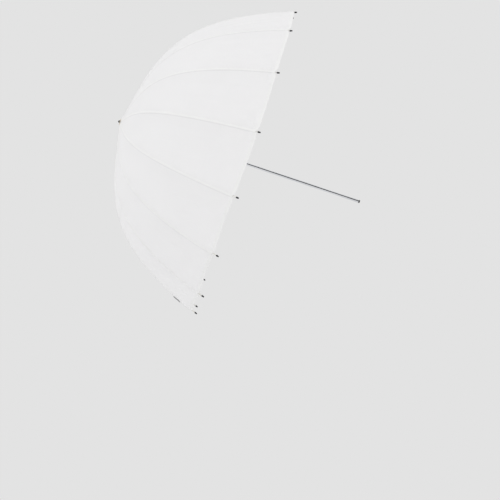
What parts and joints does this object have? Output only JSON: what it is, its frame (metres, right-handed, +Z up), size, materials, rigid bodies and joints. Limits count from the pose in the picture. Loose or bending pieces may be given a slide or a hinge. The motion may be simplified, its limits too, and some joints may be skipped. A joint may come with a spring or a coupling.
{
  "type": "umbrella reflector",
  "caption": "Deep shoot-through photographic umbrella: white fabric dome on curved ribs with stretchers, a sliding runner and a straight shaft.",
  "frame": {"origin": "centre of the flat face at the free end of the shaft", "axes": "+X along the shaft, from the crown towards the opening and the free end; +Z up with the shaft level; the crown is at negative X"},
  "size_m": [0.6806, 0.8338, 0.8338],
  "materials": {
    "canopy_fabric": "white translucent nylon",
    "strap_webbing": "light grey webbing",
    "rib_fibreglass": "pale pultruded fibreglass rod",
    "plated_steel": "zinc plated",
    "shaft_chrome": "polished plating",
    "dark_metal": "blackened, satin",
    "washer_brass": "dull brass",
    "black_plastic": "moulded, fine grain"
  },
  "bodies": {
    "root": {"shaft_tube": "shaft_chrome", "shaft_end_cap": "black_plastic", "ferrule": "dark_metal", "crown_washer": "washer_brass", "canopy": "canopy_fabric", "top_notch": "black_plastic", "notch_wire": "plated_steel", "latch_spring": "plated_steel", "closing_strap": "strap_webbing"},
    "runner": {"runner": "black_plastic", "runner_wire": "plated_steel"},
    "latch_catch": {"latch_catch": "plated_steel"},
    "rib_01": {"rib_01": "rib_fibreglass", "rib_tip_01": "dark_metal"},
    "stretcher_01": {"stretcher_01": "plated_steel"},
    "rib_02": {"rib_02": "rib_fibreglass", "rib_tip_02": "dark_metal"},
    "stretcher_02": {"stretcher_02": "plated_steel"},
    "rib_03": {"rib_03": "rib_fibreglass", "rib_tip_03": "dark_metal"},
    "stretcher_03": {"stretcher_03": "plated_steel"},
    "rib_04": {"rib_04": "rib_fibreglass", "rib_tip_04": "dark_metal"},
    "stretcher_04": {"stretcher_04": "plated_steel"},
    "rib_05": {"rib_05": "rib_fibreglass", "rib_tip_05": "dark_metal"},
    "stretcher_05": {"stretcher_05": "plated_steel"},
    "rib_06": {"rib_06": "rib_fibreglass", "rib_tip_06": "dark_metal"},
    "stretcher_06": {"stretcher_06": "plated_steel"},
    "rib_07": {"rib_07": "rib_fibreglass", "rib_tip_07": "dark_metal"},
    "stretcher_07": {"stretcher_07": "plated_steel"},
    "rib_08": {"rib_08": "rib_fibreglass", "rib_tip_08": "dark_metal"},
    "stretcher_08": {"stretcher_08": "plated_steel"},
    "rib_09": {"rib_09": "rib_fibreglass", "rib_tip_09": "dark_metal"},
    "stretcher_09": {"stretcher_09": "plated_steel"},
    "rib_10": {"rib_10": "rib_fibreglass", "rib_tip_10": "dark_metal"},
    "stretcher_10": {"stretcher_10": "plated_steel"},
    "rib_11": {"rib_11": "rib_fibreglass", "rib_tip_11": "dark_metal"},
    "stretcher_11": {"stretcher_11": "plated_steel"},
    "rib_12": {"rib_12": "rib_fibreglass", "rib_tip_12": "dark_metal"},
    "stretcher_12": {"stretcher_12": "plated_steel"},
    "rib_13": {"rib_13": "rib_fibreglass", "rib_tip_13": "dark_metal"},
    "stretcher_13": {"stretcher_13": "plated_steel"},
    "rib_14": {"rib_14": "rib_fibreglass", "rib_tip_14": "dark_metal"},
    "stretcher_14": {"stretcher_14": "plated_steel"},
    "rib_15": {"rib_15": "rib_fibreglass", "rib_tip_15": "dark_metal"},
    "stretcher_15": {"stretcher_15": "plated_steel"},
    "rib_16": {"rib_16": "rib_fibreglass", "rib_tip_16": "dark_metal"},
    "stretcher_16": {"stretcher_16": "plated_steel"}
  },
  "joints": [
    {"name": "runner_slide", "type": "slide", "parent": "root", "child": "runner", "axis": [1, 0, 0], "range_m": [0, 0.302], "deforming": ["canopy", "closing_strap"]},
    {"name": "latch_press", "type": "slide", "parent": "root", "child": "latch_catch", "axis": [0, 0, -1], "range_m": [0, 0.0024], "deforming": ["latch_spring"]},
    {"name": "rib_01_hinge", "type": "hinge", "parent": "root", "child": "rib_01", "pos_m": [-0.6675, -0.00205, 0.0103], "axis": [0, 0.9808, 0.1951], "range_deg": [0, 49.44]},
    {"name": "stretcher_01_hinge", "type": "hinge", "parent": "rib_01", "child": "stretcher_01", "pos_m": [-0.58485, -0.04833, 0.24296], "axis": [0, 0.9808, 0.1951], "range_deg": [-98.89, 0]},
    {"name": "rib_02_hinge", "type": "hinge", "parent": "root", "child": "rib_02", "pos_m": [-0.6675, -0.00583, 0.00873], "axis": [0, 0.8315, 0.5556], "range_deg": [0, 49.44]},
    {"name": "stretcher_02_hinge", "type": "hinge", "parent": "rib_02", "child": "stretcher_02", "pos_m": [-0.58485, -0.13763, 0.20597], "axis": [0, 0.8315, 0.5556], "range_deg": [-98.89, 0]},
    {"name": "rib_03_hinge", "type": "hinge", "parent": "root", "child": "rib_03", "pos_m": [-0.6675, -0.00873, 0.00583], "axis": [0, 0.5556, 0.8315], "range_deg": [0, 49.44]},
    {"name": "stretcher_03_hinge", "type": "hinge", "parent": "rib_03", "child": "stretcher_03", "pos_m": [-0.58485, -0.20597, 0.13763], "axis": [0, 0.5556, 0.8315], "range_deg": [-98.89, 0]},
    {"name": "rib_04_hinge", "type": "hinge", "parent": "root", "child": "rib_04", "pos_m": [-0.6675, -0.0103, 0.00205], "axis": [0, 0.1951, 0.9808], "range_deg": [0, 49.44]},
    {"name": "stretcher_04_hinge", "type": "hinge", "parent": "rib_04", "child": "stretcher_04", "pos_m": [-0.58485, -0.24296, 0.04833], "axis": [0, 0.1951, 0.9808], "range_deg": [-98.89, 0]},
    {"name": "rib_05_hinge", "type": "hinge", "parent": "root", "child": "rib_05", "pos_m": [-0.6675, -0.0103, -0.00205], "axis": [0, -0.1951, 0.9808], "range_deg": [0, 49.44]},
    {"name": "stretcher_05_hinge", "type": "hinge", "parent": "rib_05", "child": "stretcher_05", "pos_m": [-0.58485, -0.24296, -0.04833], "axis": [0, -0.1951, 0.9808], "range_deg": [-98.89, 0]},
    {"name": "rib_06_hinge", "type": "hinge", "parent": "root", "child": "rib_06", "pos_m": [-0.6675, -0.00873, -0.00583], "axis": [0, -0.5556, 0.8315], "range_deg": [0, 49.44]},
    {"name": "stretcher_06_hinge", "type": "hinge", "parent": "rib_06", "child": "stretcher_06", "pos_m": [-0.58485, -0.20597, -0.13763], "axis": [0, -0.5556, 0.8315], "range_deg": [-98.89, 0]},
    {"name": "rib_07_hinge", "type": "hinge", "parent": "root", "child": "rib_07", "pos_m": [-0.6675, -0.00583, -0.00873], "axis": [0, -0.8315, 0.5556], "range_deg": [0, 49.44]},
    {"name": "stretcher_07_hinge", "type": "hinge", "parent": "rib_07", "child": "stretcher_07", "pos_m": [-0.58485, -0.13763, -0.20597], "axis": [0, -0.8315, 0.5556], "range_deg": [-98.89, 0]},
    {"name": "rib_08_hinge", "type": "hinge", "parent": "root", "child": "rib_08", "pos_m": [-0.6675, -0.00205, -0.0103], "axis": [0, -0.9808, 0.1951], "range_deg": [0, 49.44]},
    {"name": "stretcher_08_hinge", "type": "hinge", "parent": "rib_08", "child": "stretcher_08", "pos_m": [-0.58485, -0.04833, -0.24296], "axis": [0, -0.9808, 0.1951], "range_deg": [-98.89, 0]},
    {"name": "rib_09_hinge", "type": "hinge", "parent": "root", "child": "rib_09", "pos_m": [-0.6675, 0.00205, -0.0103], "axis": [0, -0.9808, -0.1951], "range_deg": [0, 49.44]},
    {"name": "stretcher_09_hinge", "type": "hinge", "parent": "rib_09", "child": "stretcher_09", "pos_m": [-0.58485, 0.04833, -0.24296], "axis": [0, -0.9808, -0.1951], "range_deg": [-98.89, 0]},
    {"name": "rib_10_hinge", "type": "hinge", "parent": "root", "child": "rib_10", "pos_m": [-0.6675, 0.00583, -0.00873], "axis": [0, -0.8315, -0.5556], "range_deg": [0, 49.44]},
    {"name": "stretcher_10_hinge", "type": "hinge", "parent": "rib_10", "child": "stretcher_10", "pos_m": [-0.58485, 0.13763, -0.20597], "axis": [0, -0.8315, -0.5556], "range_deg": [-98.89, 0]},
    {"name": "rib_11_hinge", "type": "hinge", "parent": "root", "child": "rib_11", "pos_m": [-0.6675, 0.00873, -0.00583], "axis": [0, -0.5556, -0.8315], "range_deg": [0, 49.44]},
    {"name": "stretcher_11_hinge", "type": "hinge", "parent": "rib_11", "child": "stretcher_11", "pos_m": [-0.58485, 0.20597, -0.13763], "axis": [0, -0.5556, -0.8315], "range_deg": [-98.89, 0]},
    {"name": "rib_12_hinge", "type": "hinge", "parent": "root", "child": "rib_12", "pos_m": [-0.6675, 0.0103, -0.00205], "axis": [0, -0.1951, -0.9808], "range_deg": [0, 49.44]},
    {"name": "stretcher_12_hinge", "type": "hinge", "parent": "rib_12", "child": "stretcher_12", "pos_m": [-0.58485, 0.24296, -0.04833], "axis": [0, -0.1951, -0.9808], "range_deg": [-98.89, 0]},
    {"name": "rib_13_hinge", "type": "hinge", "parent": "root", "child": "rib_13", "pos_m": [-0.6675, 0.0103, 0.00205], "axis": [0, 0.1951, -0.9808], "range_deg": [0, 49.44]},
    {"name": "stretcher_13_hinge", "type": "hinge", "parent": "rib_13", "child": "stretcher_13", "pos_m": [-0.58485, 0.24296, 0.04833], "axis": [0, 0.1951, -0.9808], "range_deg": [-98.89, 0]},
    {"name": "rib_14_hinge", "type": "hinge", "parent": "root", "child": "rib_14", "pos_m": [-0.6675, 0.00873, 0.00583], "axis": [0, 0.5556, -0.8315], "range_deg": [0, 49.44]},
    {"name": "stretcher_14_hinge", "type": "hinge", "parent": "rib_14", "child": "stretcher_14", "pos_m": [-0.58485, 0.20597, 0.13763], "axis": [0, 0.5556, -0.8315], "range_deg": [-98.89, 0]},
    {"name": "rib_15_hinge", "type": "hinge", "parent": "root", "child": "rib_15", "pos_m": [-0.6675, 0.00583, 0.00873], "axis": [0, 0.8315, -0.5556], "range_deg": [0, 49.44]},
    {"name": "stretcher_15_hinge", "type": "hinge", "parent": "rib_15", "child": "stretcher_15", "pos_m": [-0.58485, 0.13763, 0.20597], "axis": [0, 0.8315, -0.5556], "range_deg": [-98.89, 0]},
    {"name": "rib_16_hinge", "type": "hinge", "parent": "root", "child": "rib_16", "pos_m": [-0.6675, 0.00205, 0.0103], "axis": [0, 0.9808, -0.1951], "range_deg": [0, 49.44]},
    {"name": "stretcher_16_hinge", "type": "hinge", "parent": "rib_16", "child": "stretcher_16", "pos_m": [-0.58485, 0.04833, 0.24296], "axis": [0, 0.9808, -0.1951], "range_deg": [-98.89, 0]}
  ],
  "couplings": [
    {"joint": "rib_01_hinge", "follows": "runner_slide", "rad_per_m": 2.8459},
    {"joint": "stretcher_01_hinge", "follows": "runner_slide", "rad_per_m": -5.6918},
    {"joint": "rib_02_hinge", "follows": "runner_slide", "rad_per_m": 2.8459},
    {"joint": "stretcher_02_hinge", "follows": "runner_slide", "rad_per_m": -5.6918},
    {"joint": "rib_03_hinge", "follows": "runner_slide", "rad_per_m": 2.8459},
    {"joint": "stretcher_03_hinge", "follows": "runner_slide", "rad_per_m": -5.6918},
    {"joint": "rib_04_hinge", "follows": "runner_slide", "rad_per_m": 2.8459},
    {"joint": "stretcher_04_hinge", "follows": "runner_slide", "rad_per_m": -5.6918},
    {"joint": "rib_05_hinge", "follows": "runner_slide", "rad_per_m": 2.8459},
    {"joint": "stretcher_05_hinge", "follows": "runner_slide", "rad_per_m": -5.6918},
    {"joint": "rib_06_hinge", "follows": "runner_slide", "rad_per_m": 2.8459},
    {"joint": "stretcher_06_hinge", "follows": "runner_slide", "rad_per_m": -5.6918},
    {"joint": "rib_07_hinge", "follows": "runner_slide", "rad_per_m": 2.8459},
    {"joint": "stretcher_07_hinge", "follows": "runner_slide", "rad_per_m": -5.6918},
    {"joint": "rib_08_hinge", "follows": "runner_slide", "rad_per_m": 2.8459},
    {"joint": "stretcher_08_hinge", "follows": "runner_slide", "rad_per_m": -5.6918},
    {"joint": "rib_09_hinge", "follows": "runner_slide", "rad_per_m": 2.8459},
    {"joint": "stretcher_09_hinge", "follows": "runner_slide", "rad_per_m": -5.6918},
    {"joint": "rib_10_hinge", "follows": "runner_slide", "rad_per_m": 2.8459},
    {"joint": "stretcher_10_hinge", "follows": "runner_slide", "rad_per_m": -5.6918},
    {"joint": "rib_11_hinge", "follows": "runner_slide", "rad_per_m": 2.8459},
    {"joint": "stretcher_11_hinge", "follows": "runner_slide", "rad_per_m": -5.6918},
    {"joint": "rib_12_hinge", "follows": "runner_slide", "rad_per_m": 2.8459},
    {"joint": "stretcher_12_hinge", "follows": "runner_slide", "rad_per_m": -5.6918},
    {"joint": "rib_13_hinge", "follows": "runner_slide", "rad_per_m": 2.8459},
    {"joint": "stretcher_13_hinge", "follows": "runner_slide", "rad_per_m": -5.6918},
    {"joint": "rib_14_hinge", "follows": "runner_slide", "rad_per_m": 2.8459},
    {"joint": "stretcher_14_hinge", "follows": "runner_slide", "rad_per_m": -5.6918},
    {"joint": "rib_15_hinge", "follows": "runner_slide", "rad_per_m": 2.8459},
    {"joint": "stretcher_15_hinge", "follows": "runner_slide", "rad_per_m": -5.6918},
    {"joint": "rib_16_hinge", "follows": "runner_slide", "rad_per_m": 2.8459},
    {"joint": "stretcher_16_hinge", "follows": "runner_slide", "rad_per_m": -5.6918}
  ]
}
